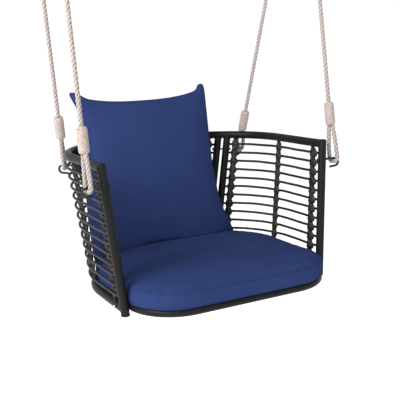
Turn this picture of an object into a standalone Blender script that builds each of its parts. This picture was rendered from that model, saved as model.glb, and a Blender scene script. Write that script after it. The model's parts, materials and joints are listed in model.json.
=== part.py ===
"""A single-seat hanging porch swing: three curved steel and wicker panels bolted round a seat frame,
with two loose cushions, hung by four ropes from four steel links.

Metres, +X to the sitter's left, +Y to the back, +Z up; "left" and "right" are as seen from the front.
The origin is midway between the four links, at the height of their top bars.
The seat's own heights are measured from the underside of its front feet.
"""

import math
from collections import namedtuple

import bmesh
import bpy
from mathutils import Matrix, Vector

# Driving dimensions.
GAP = 0.0003  # clearance between touching pieces
RAIL_R = 0.014  # top and bottom rails of the panels
POST_R = 0.0135
FRAME_R = 0.012  # seat frame tube
STAY_R = 0.006
HOOK_STAY_R = 0.0075  # the side panels' rear stay, which carries a hook
STRAND = 0.007  # wicker strand
HOOK_R = 0.004  # hook wire
ROPE_R = 0.007
WHIPPING_R = 0.0145
LINK_R = 0.004
BOLT_R = 0.003

# A plan outline: half width, front, back, corner radius and height.
Edge = namedtuple("Edge", "half_width front back radius z")
TOP = Edge(0.397, -0.123, 0.424, 0.292, 0.449)
BOTTOM = Edge(0.362, -0.150, 0.330, 0.282, 0.022)

FRAME_CLEAR = 0.001  # between the panels' bottom rails and the seat frame
FRAME_INSET = RAIL_R + FRAME_R + FRAME_CLEAR
FRAME_HALF_WIDTH = BOTTOM.half_width - FRAME_INSET
FRAME_BACK = BOTTOM.back - FRAME_INSET
FRAME_REAR_RADIUS = BOTTOM.radius - FRAME_INSET
FRAME_FRONT = -0.281
FRAME_FRONT_RADIUS = 0.150

# Places along the panels, as arc lengths from the front post: at the top edge, at the bottom edge.
SIDE_STAYS = {"front": (0.052, 0.062), "middle": (0.257, 0.272), "rear": (0.463, 0.477)}
FRONT_POST = (0.0, 0.0)
SIDE_REAR_POST = (0.498, 0.508)
BACK_POST = (0.533, 0.543)
RAIL_MEETING = (0.5155, 0.5255)
RAIL_END_GAP = 0.002
BACK_OUTER_STAY = (0.568, 0.576)
BACK_INNER_STAY_X = 0.085

STRANDS = 12
LOWEST_STRAND = 0.062
STRAND_PITCH = 0.0318

HOOK_HEIGHT = 0.396
HOOK_REACH = {"front": 0.0425, "back": 0.0545}  # from the post's surface to where the bend starts
HOOK_BEND = 0.013
BEND_TO_SEAT = 0.007  # from the start of the bend back to where the rope's eye sits

ROPE_RISE = 0.700  # from hook bar to link bar
ROPE_LEAN = {"front": (0.0, 0.142), "back": (0.116, -0.203)}  # outwards, backwards, by height
LOWER_EYE = 0.100  # from the bar to the whipping
LOWER_WHIPPING = 0.076
UPPER_EYE = 0.066
UPPER_WHIPPING = 0.060
EYE_HALF_WIDTH = 0.014
EYE_TWIST = math.radians(12)
LINK_BEND = 0.015
LINK_HEIGHT = 0.052  # between the axes of its two bars

HANG_HEIGHT = HOOK_HEIGHT + ROPE_RISE + LINK_HEIGHT

CUSHION_BOTTOM = BOTTOM.z + FRAME_R + 0.003

SIDES = {"left": -1, "right": 1}


# ---------------------------------------------------------------- materials and mesh helpers
def material(name, color, roughness, metallic=0.0):
    made = bpy.data.materials.get(name)
    if made:
        return made
    made = bpy.data.materials.new(name)
    made.use_nodes = True
    shader = made.node_tree.nodes["Principled BSDF"]
    shader.inputs["Base Color"].default_value = (*color, 1.0)
    shader.inputs["Roughness"].default_value = roughness
    shader.inputs["Metallic"].default_value = metallic
    return made


def powder_coat():
    return material("powder_coat", (0.030, 0.031, 0.032), 0.45)


def wicker():
    return material("wicker", (0.022, 0.018, 0.017), 0.55)


def blue_fabric():
    return material("blue_fabric", (0.022, 0.042, 0.145), 0.9)


def rope_fibre():
    return material("rope_fibre", (0.62, 0.54, 0.46), 0.9)


def black_steel():
    return material("black_steel", (0.015, 0.015, 0.016), 0.35, 1.0)


def bright_steel():
    return material("bright_steel", (0.60, 0.60, 0.60), 0.30, 1.0)


def black_rubber():
    return material("black_rubber", (0.012, 0.012, 0.012), 0.8)


def add_object(name, mesh, surface, parent):
    made = bpy.data.objects.new(name, mesh)
    bpy.context.scene.collection.objects.link(made)
    mesh.materials.append(surface)
    mesh.shade_smooth()
    mesh.set_sharp_from_angle(angle=math.radians(35))
    made.parent = parent
    return made


def mesh_from_bmesh(name, shape):
    bmesh.ops.recalc_face_normals(shape, faces=shape.faces)
    mesh = bpy.data.meshes.new(name)
    shape.to_mesh(mesh)
    shape.free()
    return mesh


def hide_cutter(cutter):
    cutter.hide_render = True
    cutter.display_type = "WIRE"


def combine(target, other, operation="DIFFERENCE"):
    """Cuts other out of target, or joins it on; other itself is only a guide."""
    hide_cutter(other)
    step = target.modifiers.new(operation.lower(), "BOOLEAN")
    step.operation = operation
    step.object = other


def swept_mesh(name, path, radii, sides, closed=False):
    """A round bar along path; radii is one radius, or one for each point."""
    path = [Vector(p) for p in path]
    if not hasattr(radii, "__len__"):
        radii = [radii] * len(path)
    count = len(path)
    tangents = []
    for i in range(count):
        ahead = path[(i + 1) % count] if closed or i + 1 < count else path[i]
        behind = path[i - 1] if closed or i > 0 else path[i]
        tangents.append((ahead - behind).normalized())
    normal = tangents[0].orthogonal().normalized()
    shape = bmesh.new()
    rings = []
    for point, tangent, radius in zip(path, tangents, radii):
        normal = (normal - tangent * normal.dot(tangent)).normalized()
        across = tangent.cross(normal)
        ring = []
        for k in range(sides):
            turn = 2 * math.pi * k / sides
            offset = normal * math.cos(turn) + across * math.sin(turn)
            ring.append(shape.verts.new(point + offset * radius))
        rings.append(ring)
    pairs = list(zip(rings, rings[1:] + rings[:1])) if closed else list(zip(rings, rings[1:]))
    for low, high in pairs:
        for k in range(sides):
            shape.faces.new((low[k], low[(k + 1) % sides], high[(k + 1) % sides], high[k]))
    if not closed:
        shape.faces.new(rings[0])
        shape.faces.new(rings[-1])
    return mesh_from_bmesh(name, shape)


def bar(name, path, radii, sides, surface, parent, closed=False):
    return add_object(name, swept_mesh(name, path, radii, sides, closed), surface, parent)


def arc(center, first, second, start, end, steps):
    """Points on the arc center + first cos + second sin, from start to end."""
    center, first, second = Vector(center), Vector(first), Vector(second)
    turns = [start + (end - start) * i / steps for i in range(steps + 1)]
    return [center + first * math.cos(t) + second * math.sin(t) for t in turns]


# ---------------------------------------------------------------- the panels' shared surface
def on_edge(edge, along, side=1):
    """The point at this arc length from the front post: straight side, round corner, straight back."""
    straight = edge.back - edge.radius - edge.front
    corner = edge.radius * math.pi / 2
    if along <= straight:
        x, y = edge.half_width, edge.front + along
    elif along <= straight + corner:
        turn = (along - straight) / edge.radius
        x = edge.half_width - edge.radius + edge.radius * math.cos(turn)
        y = edge.back - edge.radius + edge.radius * math.sin(turn)
    else:
        x = edge.half_width - edge.radius - (along - straight - corner)
        y = edge.back
    return Vector((side * x, y, edge.z))


def edge_length(edge):
    """Half of the outline, from the front post to the middle of the back."""
    straight = edge.back - edge.radius - edge.front
    return straight + edge.radius * math.pi / 2 + edge.half_width - edge.radius


def outward(edge, along, side=1):
    """The level direction square to the outline, pointing away from the sitter."""
    straight = edge.back - edge.radius - edge.front
    turn = min(max((along - straight) / edge.radius, 0.0), math.pi / 2)
    return Vector((side * math.cos(turn), math.sin(turn), 0.0))


def on_panel(place, height, side=1):
    """The point of the panel's middle surface on the straight line between two edge places."""
    top = on_edge(TOP, place[0], side)
    bottom = on_edge(BOTTOM, place[1], side)
    return bottom.lerp(top, (height - BOTTOM.z) / (TOP.z - BOTTOM.z))


def place_at(fraction, start, end):
    return tuple(a + (b - a) * fraction for a, b in zip(start, end))


# ---------------------------------------------------------------- panel frames
HEIGHTS = {"top": (TOP, 0), "bottom": (BOTTOM, 1)}
RAIL_SIDES = 14
POST_SIDES = 14


def side_rail(side_name, height_name, parent):
    side = SIDES[side_name]
    edge, index = HEIGHTS[height_name]
    start = 0.006
    end = RAIL_MEETING[index] - RAIL_END_GAP / 2
    steps = 18
    path = [on_edge(edge, start + (end - start) * i / steps, side) for i in range(steps + 1)]
    return bar(f"{side_name}_{height_name}_rail", path, RAIL_R, RAIL_SIDES, powder_coat(), parent)


def back_rail(height_name, parent):
    edge, index = HEIGHTS[height_name]
    start = RAIL_MEETING[index] + RAIL_END_GAP / 2
    half = edge_length(edge) - start
    steps = 14
    right = [on_edge(edge, start + half * i / steps, 1) for i in range(steps)]
    left = [Vector((-p.x, p.y, p.z)) for p in reversed(right)]
    return bar(f"back_{height_name}_rail", right + left, RAIL_R, RAIL_SIDES, powder_coat(), parent)


def domed_post(name, foot, top, radius, parent):
    """A straight post whose top is rounded over."""
    axis = (top - foot).normalized()
    turns = [math.radians(a) for a in (25, 50, 72)]
    path = [foot, top - axis * radius * 0.6]
    path += [path[1] + axis * radius * math.sin(t) for t in turns]
    radii = [radius, radius] + [radius * math.cos(t) for t in turns]
    return bar(name, path, radii, POST_SIDES, powder_coat(), parent)


def front_post(side_name, parent):
    side = SIDES[side_name]
    foot = on_panel(FRONT_POST, 0.0065, side)
    top = on_panel(FRONT_POST, TOP.z + RAIL_R * 0.65, side)
    return domed_post(f"{side_name}_front_post", foot, top, POST_R, parent)


def foot_cap(side_name, parent):
    """A shallow plastic plug under the front post, flat underneath."""
    side = SIDES[side_name]
    top = on_panel(FRONT_POST, 0.0045, side)
    heights = [0.0, 0.002, 0.0045]
    radii = [POST_R * 0.85, POST_R + 0.001, POST_R + 0.001]
    path = [Vector((top.x, top.y, z)) for z in heights]
    return bar(f"{side_name}_foot_cap", path, radii, POST_SIDES, black_rubber(), parent)


def inner_post(name, place, side, parent):
    """A post between the two rails, to be coped against both."""
    path = [on_panel(place, BOTTOM.z, side), on_panel(place, TOP.z, side)]
    return bar(name, path, POST_R, POST_SIDES, powder_coat(), parent)


STAY_END_GAP = 0.0013


def stay(name, place, side, radius, parent):
    clear = RAIL_R + STAY_END_GAP
    path = [on_panel(place, BOTTOM.z + clear, side), on_panel(place, TOP.z - clear, side)]
    return bar(name, path, radius, 10, powder_coat(), parent)


# ---------------------------------------------------------------- wicker
def strand_levels():
    """The heights of the strands' edges, from the lowest up."""
    levels = []
    for i in range(STRANDS):
        middle = LOWEST_STRAND + i * STRAND_PITCH
        levels += [middle - STRAND / 2, middle + STRAND / 2]
    return levels


def lattice(name, columns, on_surface, parent):
    """Strands joined at the stays: columns is a list of (place, lashed), lashed up to the next place."""
    levels = strand_levels()
    shape = bmesh.new()
    grid = [[shape.verts.new(on_surface(place, z)) for z in levels] for place, _ in columns]
    for i in range(len(columns) - 1):
        for j in range(len(levels) - 1):
            if j % 2 == 0 or columns[i][1]:
                shape.faces.new((grid[i][j], grid[i + 1][j], grid[i + 1][j + 1], grid[i][j + 1]))
    mesh = mesh_from_bmesh(name, shape)
    made = add_object(name, mesh, wicker(), parent)
    thick = made.modifiers.new("thickness", "SOLIDIFY")
    thick.thickness = STRAND - 0.001
    thick.offset = 0.0
    return made


LATTICE_OFFSET = HOOK_STAY_R + STRAND / 2 + GAP
LASHING_HALF = 0.007
POST_CLEAR = POST_R + 0.001
CURVE_STEP = 0.038  # longest straight piece of a strand where the panel curves


def lattice_columns(stays, start, end, curved):
    """The lattice's columns: start, each stay's two sides, end, and steps between them on the curve."""
    stops = [(start, False)]
    for place in stays:
        stops.append((tuple(s - LASHING_HALF for s in place), True))
        stops.append((tuple(s + LASHING_HALF for s in place), False))
    stops.append((end, False))
    columns = []
    for (place, lashed), (following, _) in zip(stops, stops[1:]):
        length = following[0] - place[0]
        bends = curved(place[0]) or curved(following[0])
        steps = max(1, round(length / CURVE_STEP)) if bends else 1
        columns += [(place_at(k / steps, place, following), lashed) for k in range(steps)]
    return columns + [stops[-1]]


def on_curve(along):
    straight = TOP.back - TOP.radius - TOP.front
    return straight < along < straight + TOP.radius * math.pi / 2


def side_wicker(side_name, parent):
    side = SIDES[side_name]
    start = (POST_CLEAR, POST_CLEAR)
    end = tuple(s - POST_CLEAR for s in SIDE_REAR_POST)

    def on_surface(place, z):
        return on_panel(place, z, side) + outward(TOP, place[0], side) * LATTICE_OFFSET

    columns = lattice_columns(SIDE_STAYS.values(), start, end, on_curve)
    return lattice(f"{side_name}_wicker", columns, on_surface, parent)


def from_middle(x):
    """The place on the right half of the back panel at distance x from its middle."""
    return tuple(edge_length(edge) - x for edge in (TOP, BOTTOM))


def back_wicker(parent):
    start = tuple(s + POST_CLEAR for s in BACK_POST)
    stays = [BACK_OUTER_STAY, from_middle(BACK_INNER_STAY_X)]
    half = lattice_columns(stays, start, from_middle(0.0), on_curve)
    columns = [(place, lashed, 1) for place, lashed in half[:-1]]
    flags = [lashed for _, lashed in half[:-1]]
    mirrored = [place for place, _ in half[:-1]]
    for place, lashed in zip(reversed(mirrored), list(reversed(flags))[1:] + [False]):
        columns.append((place, lashed, -1))
    sided = [((place, side), lashed) for place, lashed, side in columns]

    def on_surface(sided_place, z):
        place, side = sided_place
        return on_panel(place, z, side) + outward(TOP, place[0], side) * LATTICE_OFFSET

    return lattice("back_wicker", sided, on_surface, parent)


# ---------------------------------------------------------------- seat base
def seat_outline(grow, steps):
    """A closed level outline round the seat frame's axis, moved outwards by grow."""
    half = FRAME_HALF_WIDTH + grow
    front_r, rear_r = FRAME_FRONT_RADIUS + grow, FRAME_REAR_RADIUS + grow
    front, back = FRAME_FRONT - grow, FRAME_BACK + grow
    quarter = math.pi / 2
    corners = [
        ((half - front_r, front + front_r), front_r, -quarter),
        ((half - rear_r, back - rear_r), rear_r, 0.0),
        ((rear_r - half, back - rear_r), rear_r, quarter),
        ((front_r - half, front + front_r), front_r, 2 * quarter),
    ]
    points = []
    for (x, y), radius, start in corners:
        points += arc((x, y, 0), (radius, 0, 0), (0, radius, 0), start, start + quarter, steps)
    return points


def seat_frame(parent):
    return frame_ring("seat_frame", FRAME_R, parent)


def frame_ring(name, radius, parent):
    path = [Vector((p.x, p.y, BOTTOM.z)) for p in seat_outline(0.0, 10)]
    return bar(name, path, radius, 12, powder_coat(), parent, closed=True)


SEAT_BARS = {"left": -0.17, "middle": 0.0, "right": 0.17}
SEAT_BAR_R = 0.008
SEAT_BAR_Z = BOTTOM.z + SEAT_BAR_R - FRAME_R  # flush with the frame underneath
SEAT_STRANDS = 15
SEAT_STRAND_PITCH = 0.034
SEAT_STRAND_FRONT = -0.240
SEAT_WEAVE_Z = SEAT_BAR_Z + SEAT_BAR_R + STRAND / 2 + GAP


def crossings(outline, index, value):
    """Where a closed outline crosses x = value (index 0) or y = value (index 1), on the other axis."""
    found = []
    for first, second in zip(outline, outline[1:] + outline[:1]):
        low, high = first[index], second[index]
        if low != high and min(low, high) <= value <= max(low, high):
            share = (value - low) / (high - low)
            found.append(first.lerp(second, share)[1 - index])
    return found


def seat_bar(bar_name, parent):
    x = SEAT_BARS[bar_name]
    ends = crossings(seat_outline(0.0, 24), 0, x)
    path = [(x, min(ends), SEAT_BAR_Z), (x, max(ends), SEAT_BAR_Z)]
    return bar(f"seat_bar_{bar_name}", path, SEAT_BAR_R, 10, powder_coat(), parent)


def seat_weave(parent):
    """Level strands across the seat bars, lashed to each one."""
    shape = bmesh.new()
    rows = []
    inside = seat_outline(-FRAME_R - 0.002, 24)
    for i in range(SEAT_STRANDS):
        y = SEAT_STRAND_FRONT + i * SEAT_STRAND_PITCH
        half = min(max(crossings(inside, 1, y + step)) for step in (-STRAND / 2, STRAND / 2))
        xs = [-half]
        for x in SEAT_BARS.values():
            xs += [x - LASHING_HALF, x + LASHING_HALF]
        xs.append(half)
        for edge_y in (y - STRAND / 2, y + STRAND / 2):
            rows.append([shape.verts.new((x, edge_y, SEAT_WEAVE_Z)) for x in xs])
    for j in range(len(rows) - 1):
        for i in range(len(rows[0]) - 1):
            if j % 2 == 0 or i % 2 == 1:
                shape.faces.new((rows[j][i], rows[j][i + 1], rows[j + 1][i + 1], rows[j + 1][i]))
    made = add_object("seat_weave", mesh_from_bmesh("seat_weave", shape), wicker(), parent)
    thick = made.modifiers.new("thickness", "SOLIDIFY")
    thick.thickness = STRAND - 0.001
    thick.offset = 0.0
    return made


# ---------------------------------------------------------------- hooks, nuts and bolts
HOOK_PLACES = {"front": (FRONT_POST, POST_R), "back": (SIDE_STAYS["rear"], HOOK_STAY_R)}
NUT_LENGTH = 0.004
NUT_CROWN = 0.001
NUT_R = 0.0065
NUT_SEATING = 0.002  # the post leans, so the flat nut stands a little clear of it


def hook_frame(end_name, side):
    """Where the hook's axis crosses its post, the way it points, and the post's radius."""
    place, radius = HOOK_PLACES[end_name]
    return on_panel(place, HOOK_HEIGHT, side), outward(TOP, place[0], side), radius


def rope_foot(end_name, side):
    """Where the rope's eye sits on the hook's bar."""
    root, out, radius = hook_frame(end_name, side)
    return root + out * (radius + HOOK_REACH[end_name] - BEND_TO_SEAT)


def hook(end_name, side_name, parent):
    """A level rod through the post that turns down and back under itself."""
    root, out, radius = hook_frame(end_name, SIDES[side_name])
    down = Vector((0, 0, -1))
    start = root - out * (radius + NUT_SEATING + NUT_LENGTH / 2)
    reach = radius + HOOK_REACH[end_name]
    bend = root + out * reach + down * HOOK_BEND
    path = [start, root, root + out * reach * 0.6]
    path += arc(bend, -down * HOOK_BEND, out * HOOK_BEND, 0, math.pi, 10)
    path.append(bend + down * HOOK_BEND - out * 0.022 + down * 0.002)
    return bar(f"hook_{end_name}_{side_name}", path, HOOK_R, 8, black_steel(), parent)


def hook_nut(end_name, side_name, parent):
    """A low capped nut on the hook's inner end."""
    root, out, radius = hook_frame(end_name, SIDES[side_name])
    face = root - out * (radius + NUT_SEATING)
    path = [face, face - out * (NUT_LENGTH - NUT_CROWN), face - out * NUT_LENGTH]
    name = f"hook_nut_{end_name}_{side_name}"
    made = bar(name, path, [NUT_R, NUT_R, NUT_R * 0.7], 6, black_steel(), parent)
    bore_end = face - out * (NUT_LENGTH / 2 + GAP)
    combine(made, bar(f"{name}_bore", [root, bore_end], HOOK_R + GAP, 12, black_steel(), parent))
    return made


BORE_REACH = 0.03  # from a tube's axis, past its surface
BORE_PAST = 0.001


def through_bore(target, name, start, end, radius, parent):
    cutter = bar(f"{target.name}_{name}_bore", [start, end], radius + GAP, 12, black_steel(), parent)
    combine(target, cutter)


JOINT_BOLT_HEIGHTS = {"upper": 0.395, "lower": 0.080}
SEAT_BOLTS = {"front": 0.040, "rear": 0.460}  # places along the bottom rail
BOLT_HEAD_R = 0.0055
BOLT_HEAD = 0.0035
SEATING = 0.001  # between a flat bolt head and the round tube under it
SEAT_BOLT_REACH = RAIL_R + FRAME_CLEAR + FRAME_R  # from the rail's axis to the seat frame's


def bolt(name, head, tip, surface, parent, nut=False):
    """A bolt from under its head to its tip, with a nut's outline at the tip if asked."""
    along = (tip - head).normalized()
    stops = [
        (-BOLT_HEAD, BOLT_HEAD_R * 0.8),
        (-BOLT_HEAD * 0.6, BOLT_HEAD_R),
        (0, BOLT_HEAD_R),
        (0, BOLT_R),
    ]
    path = [head + along * distance for distance, _ in stops]
    radii = [radius for _, radius in stops]
    path += [tip, tip, tip + along * BOLT_HEAD] if nut else [tip]
    radii += [BOLT_R, BOLT_HEAD_R, BOLT_HEAD_R] if nut else [BOLT_R]
    return turned(name, path, radii, along, surface, parent)


def turned(name, path, radii, along, surface, parent, sides=10):
    """A turned piece along one straight axis; two points may share a place to make a step."""
    shape = bmesh.new()
    first = along.orthogonal().normalized()
    second = along.cross(first)
    turns = [2 * math.pi * k / sides for k in range(sides)]
    spokes = [first * math.cos(turn) + second * math.sin(turn) for turn in turns]
    rings = []
    for point, radius in zip(path, radii):
        rings.append([shape.verts.new(point + spoke * radius) for spoke in spokes])
    for low, high in zip(rings, rings[1:]):
        for k in range(sides):
            shape.faces.new((low[k], low[(k + 1) % sides], high[(k + 1) % sides], high[k]))
    shape.faces.new(rings[0])
    shape.faces.new(rings[-1])
    return add_object(name, mesh_from_bmesh(name, shape), surface, parent)


def joint_bolt(side_name, level, parent):
    """Draws a side panel's rear post and the back panel's post together."""
    side = SIDES[side_name]
    height = JOINT_BOLT_HEIGHTS[level]
    first = on_panel(SIDE_REAR_POST, height, side)
    second = on_panel(BACK_POST, height, side)
    along = (second - first).normalized()
    head = first - along * (POST_R + SEATING)
    tip = second + along * (POST_R + SEATING)
    return bolt(f"joint_bolt_{side_name}_{level}", head, tip, black_steel(), parent, nut=True)


def seat_bolt(side_name, end_name, parent):
    """Fastens a panel's bottom rail to the seat frame beside it."""
    place, out = seat_bolt_place(side_name, end_name)
    head = place + out * (RAIL_R + SEATING)
    tip = place - out * SEAT_BOLT_REACH
    return bolt(f"seat_bolt_{side_name}_{end_name}", head, tip, bright_steel(), parent)


def seat_bolt_place(side_name, end_name):
    """Where the bolt crosses the rail's axis, and the level direction out of the rail."""
    side, along = SIDES[side_name], SEAT_BOLTS[end_name]
    return on_edge(BOTTOM, along, side), outward(BOTTOM, along, side)


# ---------------------------------------------------------------- cushions
SEAT_CUSHION_GROW = 0.011
SEAM_HEIGHT = 0.050  # of the seat cushion's upper seam over its underside
CUSHION_CROWN = 0.016
PILLOW_WIDTH = 0.480
PILLOW_HEIGHT = 0.560
PILLOW_THICKNESS = 0.110
PILLOW_MIDDLE_X = -0.022
PILLOW_FOOT = (0.255, CUSHION_BOTTOM + SEAM_HEIGHT + CUSHION_CROWN + 0.004)
PILLOW_LEAN = math.radians(15)
PILLOW_POINTS = 20
# Outlines of the pillow from its front face to its back face: size and depth, both as shares.
PILLOW_RINGS = (
    (0.35, -0.60),
    (0.75, -0.46),
    (0.94, -0.18),
    (1.00, -0.03),
    (0.93, 0.14),
    (0.72, 0.30),
    (0.35, 0.38),
)


def stacked_rings(name, rings, surface, parent):
    """A closed solid through rings of equal numbers of points, from the lowest up."""
    shape = bmesh.new()
    made = [[shape.verts.new(p) for p in ring] for ring in rings]
    count = len(made[0])
    for low, high in zip(made, made[1:]):
        for k in range(count):
            shape.faces.new((low[k], low[(k + 1) % count], high[(k + 1) % count], high[k]))
    shape.faces.new(made[0])
    shape.faces.new(made[-1])
    return add_object(name, mesh_from_bmesh(name, shape), surface, parent)


def seat_cushion(parent):
    """A boxed cushion: a rounded edge below, an upright border and a low crown."""
    levels = [
        (-0.008, 0.000),
        (0.000, 0.008),
        (0.000, SEAM_HEIGHT - 0.010),
        (-0.005, SEAM_HEIGHT),
        (-0.040, SEAM_HEIGHT + CUSHION_CROWN * 0.6),
        (-0.100, SEAM_HEIGHT + CUSHION_CROWN),
    ]
    rings = []
    for grow, rise in levels:
        outline = seat_outline(SEAT_CUSHION_GROW + grow, 6)
        rings.append([Vector((p.x, p.y, CUSHION_BOTTOM + rise)) for p in outline])
    return stacked_rings("seat_cushion", rings, blue_fabric(), parent)


def back_cushion(parent):
    """A plump square cushion with pointed corners, leaning on the back panel."""
    up = Vector((0, math.sin(PILLOW_LEAN), math.cos(PILLOW_LEAN)))
    back = Vector((0, math.cos(PILLOW_LEAN), -math.sin(PILLOW_LEAN)))
    foot = Vector((PILLOW_MIDDLE_X, *PILLOW_FOOT))
    middle = foot + up * PILLOW_HEIGHT / 2
    rings = []
    for size, depth in PILLOW_RINGS:
        center = middle + back * depth * PILLOW_THICKNESS
        ring = []
        for k in range(PILLOW_POINTS):
            turn = 2 * math.pi * (k + 0.5) / PILLOW_POINTS
            reach = size / max(abs(math.cos(turn)), abs(math.sin(turn)))
            across = Vector((math.cos(turn) * reach * PILLOW_WIDTH / 2, 0, 0))
            upward = up * math.sin(turn) * reach * PILLOW_HEIGHT / 2
            ring.append(center + across + upward)
        rings.append(ring)
    return stacked_rings("back_cushion", rings, blue_fabric(), parent)


# ---------------------------------------------------------------- ropes and links
EYE_SEAT = EYE_HALF_WIDTH - ROPE_R - LINK_R - 0.0005  # from the bar's axis to the eye's centre


def rope_head(end_name, side):
    """Where the rope's upper eye sits on its link."""
    out, back = ROPE_LEAN[end_name]
    return rope_foot(end_name, side) + Vector((side * out, back, 1.0)) * ROPE_RISE


def eye_mesh(name, bar_point, along, across, length):
    """A rope loop round a bar: a half circle past the bar, then two legs that close up towards along."""
    middle = bar_point + along * EYE_SEAT
    legs = []
    for k in range(5):
        rise = k / 5
        spread = EYE_HALF_WIDTH + (ROPE_R - EYE_HALF_WIDTH) * rise ** 1.5
        legs.append((rise * (length + 0.004 - EYE_SEAT), spread))
    legs.append((length + 0.004 - EYE_SEAT, ROPE_R))
    near = [middle + along * rise + across * spread for rise, spread in reversed(legs)]
    far = [middle + along * rise - across * spread for rise, spread in legs]
    loop = arc(middle, across * EYE_HALF_WIDTH, -along * EYE_HALF_WIDTH, 0, math.pi, 6)
    return swept_mesh(name, near + loop[1:-1] + far, ROPE_R - 0.0002, 6)


def rope(end_name, side_name, parent):
    """One rope: a whipped eye on the hook, a straight run and a whipped eye on the link."""
    side = SIDES[side_name]
    foot, head = rope_foot(end_name, side), rope_head(end_name, side)
    along = (head - foot).normalized()
    length = (head - foot).length
    _, out, _ = hook_frame(end_name, side)
    level = Vector((0, 0, 1)).cross(out)
    level.rotate(Matrix.Rotation(EYE_TWIST, 3, "Z"))
    lower_across = (level - along * level.dot(along)).normalized()
    upper_across = (Vector((0, 1, 0)) - along * along.y).normalized()
    stops = [
        (LOWER_EYE, WHIPPING_R * 0.92),
        (LOWER_EYE + 0.008, WHIPPING_R),
        (LOWER_EYE + LOWER_WHIPPING - 0.008, WHIPPING_R),
        (LOWER_EYE + LOWER_WHIPPING, ROPE_R),
        (length - UPPER_EYE - UPPER_WHIPPING, ROPE_R),
        (length - UPPER_EYE - UPPER_WHIPPING + 0.008, WHIPPING_R),
        (length - UPPER_EYE - 0.008, WHIPPING_R),
        (length - UPPER_EYE, WHIPPING_R * 0.92),
    ]
    name = f"rope_{end_name}_{side_name}"
    path = [foot + along * distance for distance, _ in stops]
    made = bar(name, path, [radius for _, radius in stops], 8, rope_fibre(), parent)
    ends = {
        "lower": eye_mesh(f"{name}_lower_eye", foot, along, lower_across, LOWER_EYE),
        "upper": eye_mesh(f"{name}_upper_eye", head, -along, upper_across, UPPER_EYE),
    }
    for end, mesh in ends.items():
        combine(made, add_object(f"{name}_{end}_eye", mesh, rope_fibre(), parent), "UNION")
    return made


def link(end_name, side_name, parent):
    """An upright oval steel link; the rope's eye lies in its lower bend."""
    low = rope_head(end_name, SIDES[side_name]) + Vector((0, 0, LINK_BEND))
    high = low + Vector((0, 0, LINK_HEIGHT - 2 * LINK_BEND))
    across, upright = Vector((LINK_BEND, 0, 0)), Vector((0, 0, LINK_BEND))
    path = arc(high, across, upright, 0, math.pi, 7) + arc(low, -across, -upright, 0, math.pi, 7)
    return bar(f"link_{end_name}_{side_name}", path, LINK_R, 8, bright_steel(), parent, closed=True)


# ---------------------------------------------------------------- the whole swing
def side_panel(side_name, parent):
    """The nodes of one side panel by short name."""
    side = SIDES[side_name]
    made = {
        "top_rail": side_rail(side_name, "top", parent),
        "bottom_rail": side_rail(side_name, "bottom", parent),
        "front_post": front_post(side_name, parent),
        "rear_post": inner_post(f"{side_name}_rear_post", SIDE_REAR_POST, side, parent),
    }
    for stay_name, place in SIDE_STAYS.items():
        radius = HOOK_STAY_R if stay_name == "rear" else STAY_R
        made[f"{stay_name}_stay"] = stay(f"{side_name}_{stay_name}_stay", place, side, radius, parent)
    made["wicker"] = side_wicker(side_name, parent)
    foot_cap(side_name, parent)
    return made


def back_panel(parent):
    made = {
        "top_rail": back_rail("top", parent),
        "bottom_rail": back_rail("bottom", parent),
        "wicker": back_wicker(parent),
    }
    for side_name, side in SIDES.items():
        name = f"back_{side_name}_post"
        made[f"{side_name}_post"] = inner_post(name, BACK_POST, side, parent)
        stay(f"back_{side_name}_outer_stay", BACK_OUTER_STAY, side, STAY_R, parent)
        stay(f"back_{side_name}_inner_stay", from_middle(BACK_INNER_STAY_X), side, STAY_R, parent)
    return made


def cope(target, name, path, radius, parent):
    """Shapes target's end to fit round the tube that it meets."""
    cutter = bar(f"{target.name}_{name}_cutter", path, radius + 2 * GAP, 24, powder_coat(), parent)
    combine(target, cutter)


def fit_panels(panels, back, parent):
    """Copes the tubes where they meet."""
    for side_name, side in SIDES.items():
        panel = panels[side_name]
        post_path = [on_panel(FRONT_POST, z, side) for z in (0.0, TOP.z + 0.02)]
        for rail in ("top_rail", "bottom_rail"):
            cope(panel[rail], "post", post_path, POST_R, parent)
        for post, place in ((panel["rear_post"], SIDE_REAR_POST), (back[f"{side_name}_post"], BACK_POST)):
            for edge, index in HEIGHTS.values():
                near = [on_edge(edge, place[index] + step / 100, side) for step in range(-3, 4)]
                cope(post, f"rail_{index}", near, RAIL_R, parent)


def fit_fasteners(panels, back, frame, parent):
    """Adds the hooks, nuts and bolts, and bores what they pass through."""
    for side_name, side in SIDES.items():
        panel = panels[side_name]
        for end_name, post in (("front", panel["front_post"]), ("back", panel["rear_stay"])):
            hook(end_name, side_name, parent)
            hook_nut(end_name, side_name, parent)
            root, out, _ = hook_frame(end_name, side)
            start, end = root - out * BORE_REACH, root + out * BORE_REACH
            through_bore(post, "hook", start, end, HOOK_R, parent)
        through_bore(panel["wicker"], "hook", start, end, HOOK_R, parent)
        for level, height in JOINT_BOLT_HEIGHTS.items():
            joint_bolt(side_name, level, parent)
            first = on_panel(SIDE_REAR_POST, height, side)
            second = on_panel(BACK_POST, height, side)
            reach = (second - first).normalized() * BORE_REACH
            for post in (panel["rear_post"], back[f"{side_name}_post"]):
                through_bore(post, f"bolt_{level}", first - reach, second + reach, BOLT_R, parent)
        for end_name in SEAT_BOLTS:
            seat_bolt(side_name, end_name, parent)
            place, out = seat_bolt_place(side_name, end_name)
            start, end = place + out * BORE_REACH, place - out * (SEAT_BOLT_REACH + BORE_PAST)
            for target in (panel["bottom_rail"], frame):
                through_bore(target, f"bolt_{side_name}_{end_name}", start, end, BOLT_R, parent)


def clear_scene():
    for old in list(bpy.data.objects):
        bpy.data.objects.remove(old)


def empty(name, location, parent=None):
    made = bpy.data.objects.new(name, None)
    bpy.context.scene.collection.objects.link(made)
    made.location = location
    made.parent = parent
    return made


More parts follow.
